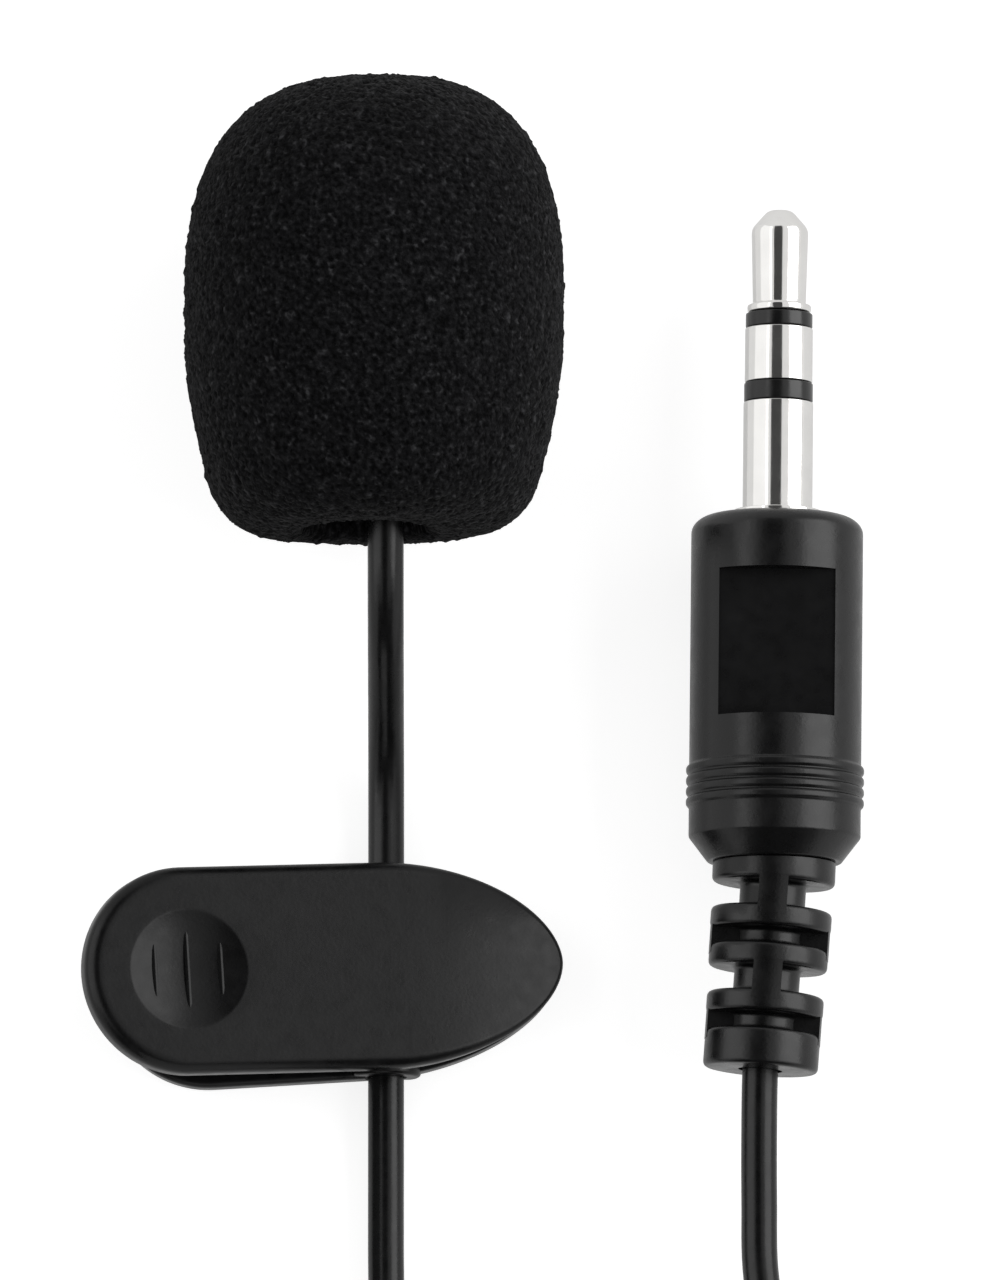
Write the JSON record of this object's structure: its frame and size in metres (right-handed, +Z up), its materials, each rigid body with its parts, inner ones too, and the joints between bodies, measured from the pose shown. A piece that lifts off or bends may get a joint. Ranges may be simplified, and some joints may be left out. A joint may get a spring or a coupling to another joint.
{
  "type": "lavalier microphone",
  "caption": "Clip-on lavalier microphone: a slim capsule head under a foam windscreen, a sprung lapel clip that slides on the cable, a wound lead with wire ties and a straight mini jack plug.",
  "frame": {"origin": "on the flat back face of the clip, midway along it, where it lies on the table", "axes": "+X along the clip towards its jaw, +Y along the cable towards the microphone head, +Z up out of the clip's front face"},
  "size_m": [0.0405, 0.099, 0.0191],
  "materials": {
    "foam": "open-cell black foam",
    "clip_plastic": "satin black moulding",
    "head_plastic": "satin black moulding",
    "rubber": "matte black",
    "cable_pvc": "satin black flexible jacket",
    "plug_pvc": "satin black over-mould",
    "insulator": "black",
    "polyethylene": "natural",
    "nickel": "bright nickel plate",
    "steel": "drawn wire and woven mesh",
    "aluminium": "pressed",
    "brass": "plain",
    "felt": "black felt",
    "film": "metallised film",
    "board": "green circuit board",
    "copper": "bare copper strands",
    "red_pvc": "red wire jacket"
  },
  "bodies": {
    "microphone": {"rear_bush": "rubber", "mic_barrel": "head_plastic", "grille_cap": "head_plastic", "mesh_screen": "steel", "dust_felt": "felt", "capsule_can": "aluminium", "diaphragm": "film", "backplate": "brass", "contact_ring": "brass", "capsule_board": "board", "capsule_boot": "rubber", "cable_stop": "aluminium", "signal_wire": "red_pvc", "shield_wire": "copper", "plug_tip": "nickel", "tip_insulator": "insulator", "plug_ring": "nickel", "ring_insulator": "insulator", "plug_sleeve": "nickel", "plug_body": "plug_pvc", "plug_inner_mould": "polyethylene", "plug_signal_wire": "red_pvc", "plug_shield_wire": "copper", "strain_relief": "plug_pvc", "cable_mic_run": "cable_pvc", "cable_plug_run": "cable_pvc", "cable_coil": "cable_pvc", "cable_tie_near": "rubber", "cable_tie_far": "rubber"},
    "windscreen": {"foam_windscreen": "foam"},
    "clip_base": {"clip_rear_lever": "clip_plastic", "hinge_pin": "steel", "torsion_spring": "steel"},
    "clip_lever": {"clip_front_lever": "clip_plastic"}
  },
  "joints": [
    {"name": "windscreen_pull", "type": "slide", "parent": "microphone", "child": "windscreen", "axis": [0, 0.9981, 0.061], "range_m": [0, 0.0185]},
    {"name": "clip_slide", "type": "slide", "parent": "microphone", "child": "clip_base", "axis": [0, 1, 0], "range_m": [-0.012, 0]},
    {"name": "clip_squeeze", "type": "hinge", "parent": "clip_base", "child": "clip_lever", "pos_m": [-0.0011, -0.00007, 0.0031], "axis": [0.0593, -0.9982, 0], "range_deg": [0, 22], "stiffness_Nm_per_rad": 0.05, "springref_deg": -28.65, "deforming": ["torsion_spring"]}
  ]
}
